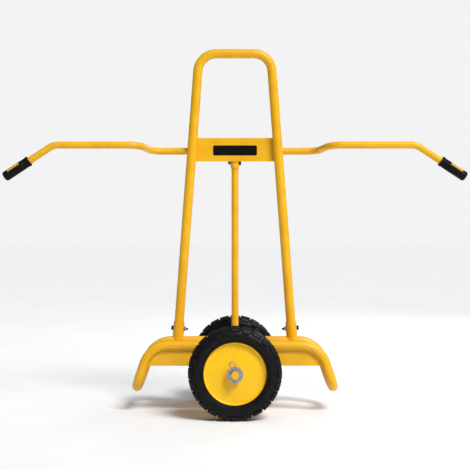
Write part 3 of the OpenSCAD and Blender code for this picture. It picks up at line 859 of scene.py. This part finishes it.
def weld_base():
    rail_low, rail_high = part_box("rail_front")
    rail_r = (rail_high.y - rail_low.y) / 2
    rail_y = (rail_high.y + rail_low.y) / 2
    rail_z = rail_high.z - rail_r
    seam_z = rail_low.z + rail_r * math.sin(FOOT_SPLAY)
    seam_x = rail_high.x - rail_r * math.cos(FOOT_SPLAY)
    for end, y in (("front", rail_y), ("rear", -rail_y)):
        for side, x in (("left", -1), ("right", 1)):
            down_leg = (x * math.sin(FOOT_SPLAY), 0, -math.cos(FOOT_SPLAY))
            place = frame_on((x * seam_x, y, seam_z), down_leg)
            weld(f"foot_loop_weld_{end}_{side}", circle(place, rail_r - 0.4 * MM), True, THIN_BEAD_R)
    web_low, web_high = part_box("web_front")
    web_t = (web_high.y - web_low.y) / 2
    for end, y in (("front", rail_y), ("rear", -rail_y)):
        for face in (-1, 1):
            under = rail_z - math.sqrt(rail_r ** 2 - web_t ** 2)
            for i, x in enumerate(WEB_STITCHES):
                weld(f"web_weld_{end}_{'outer' if face * y > 0 else 'inner'}_{i}",
                     stitch(x, WEB_HALF, y + face * web_t, under))
    tube_low, tube_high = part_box("axle_tube")
    tube_r = (tube_high.x - tube_low.x) / 2
    for end, y in (("front", rail_y), ("rear", -rail_y)):
        for face in (-1, 1):
            place = frame_on((0, y + face * web_t, (tube_low.z + tube_high.z) / 2), (0, 1, 0))
            weld(f"axle_tube_weld_{end}_{'outer' if face * y > 0 else 'inner'}",
                 circle(place, tube_r), True, HEAVY_BEAD_R)
    deck_low, deck_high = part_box("deck_plate")
    for end, y in (("front", deck_low.y), ("rear", deck_high.y)):
        for i, x in enumerate(DECK_STITCHES):
            weld(f"deck_weld_{end}_{i}", stitch(x, DECK_HALF, y, deck_high.z))


def weld_hoop():
    rail_low, rail_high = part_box("rail_rear")
    rail_r = (rail_high.y - rail_low.y) / 2
    rail_y = (rail_high.y + rail_low.y) / 2
    rail_z = rail_high.z - rail_r
    for end, side in (("left", -1), ("right", 1)):
        low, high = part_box("leg_socket_" + end)
        socket_r = (high.y - low.y) / 2
        top_x = high.x if side > 0 else low.x
        axis = Vector((-side * math.sin(HOOP_LEAN), 0, math.cos(HOOP_LEAN)))
        outer_foot = Vector((top_x - side * socket_r * math.cos(HOOP_LEAN), rail_y, rail_z))
        weld("leg_socket_weld_" + end,
             saddle(frame_on(outer_foot, axis), socket_r, (0, rail_y, rail_z), (1, 0, 0), rail_r),
             True, SOCKET_BEAD_R)
    plate_low, plate_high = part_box("cross_plate")
    hoop_low, hoop_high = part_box("hoop")
    hoop_r = (hoop_high.y - hoop_low.y) / 2
    reach = math.sqrt(hoop_r ** 2 - (plate_low.y - rail_y) ** 2)
    foot_x = hoop_high.x - hoop_r * math.cos(HOOP_LEAN)
    for end, side in (("left", -1), ("right", 1)):
        def at(z):
            centre = foot_x - (z - hoop_low.z) * math.tan(HOOP_LEAN)
            return (side * (centre - reach / math.cos(HOOP_LEAN)), plate_low.y, z)
        weld("cross_plate_weld_" + end, line(at(plate_low.z + 2 * MM), at(plate_high.z - 2 * MM)),
             False, THIN_BEAD_R)


def weld_sleeves():
    low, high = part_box("handle_sleeve")
    radius = (high.z - low.z) / 2
    middle = (high.z + low.z) / 2
    plate_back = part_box("cross_plate")[1].y
    for end, rise in (("upper", 1), ("lower", -1)):
        for i, x in enumerate(SLEEVE_STITCHES):
            y = plate_back + 1.2 * MM
            z = middle + rise * 6.2 * MM
            weld(f"handle_sleeve_weld_{end}_{i}", stitch(x, SLEEVE_HALF, y, z), False, HEAVY_BEAD_R)
    sleeve_y = (low.y + high.y) / 2
    place = frame_on((0, sleeve_y, middle - radius), (0, 0, -1))
    post_low, post_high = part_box("post_sleeve_top")
    post_r = (post_high.x - post_low.x) / 2
    weld("post_sleeve_weld_top", saddle(place, post_r, (0, sleeve_y, middle), (1, 0, 0), radius), True)
    tube_low, tube_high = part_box("axle_tube")
    tube_r = (tube_high.x - tube_low.x) / 2
    place = frame_on((0, sleeve_y, tube_high.z), (0, 0, 1))
    weld("post_sleeve_weld_foot",
         saddle(place, post_r, (0, 0, tube_high.z - tube_r), (0, 1, 0), tube_r), True)


weld_base()
weld_hoop()
weld_sleeves()


# ---------------------------------------------------------------- floor and surroundings

FLOOR_REACH = 40.0


def make_floor():
    corners = [(x * FLOOR_REACH, y * FLOOR_REACH, 0) for x, y in ((-1, -1), (1, -1), (1, 1), (-1, 1))]
    mesh = bpy.data.meshes.new("floor")
    mesh.from_pydata(corners, [], [(0, 1, 2, 3)])
    mesh.materials.append(studio_floor())
    floor = bpy.data.objects.new("floor", mesh)
    bpy.context.scene.collection.objects.link(floor)


def make_surroundings():
    """A white backdrop, and studio light that is dim at the sides and bright overhead.

    Colours are shown as they are, with no film curve, so a coat's own colour is the one seen.
    """
    world = bpy.data.worlds.new("studio")
    world.use_nodes = True
    tree = world.node_tree
    tree.nodes.clear()
    heading = add_node(tree, "ShaderNodeTexCoord").outputs["Generated"]
    height = add_node(tree, "ShaderNodeSeparateXYZ", {"Vector": heading}).outputs["Z"]
    sky = add_node(tree, RAMP, {"Fac": height}, [(0.0, "#1d1e1f"), (0.3, "#56585b"), (1.0, "#b8bbc0")])
    lit = add_node(tree, "ShaderNodeBackground", {"Color": sky.outputs["Color"], "Strength": 1.0})
    seen = add_node(tree, "ShaderNodeBackground", {"Color": linear("#f3f3f3"), "Strength": 1.0})
    straight = add_node(tree, "ShaderNodeLightPath").outputs["Is Camera Ray"]
    both = add_node(tree, "ShaderNodeMixShader", {
        "Fac": straight, 1: lit.outputs["Background"], 2: seen.outputs["Background"]})
    add_node(tree, "ShaderNodeOutputWorld", {"Surface": both.outputs["Shader"]})
    bpy.context.scene.world = world
    bpy.context.scene.view_settings.view_transform = "Standard"


make_floor()
make_surroundings()
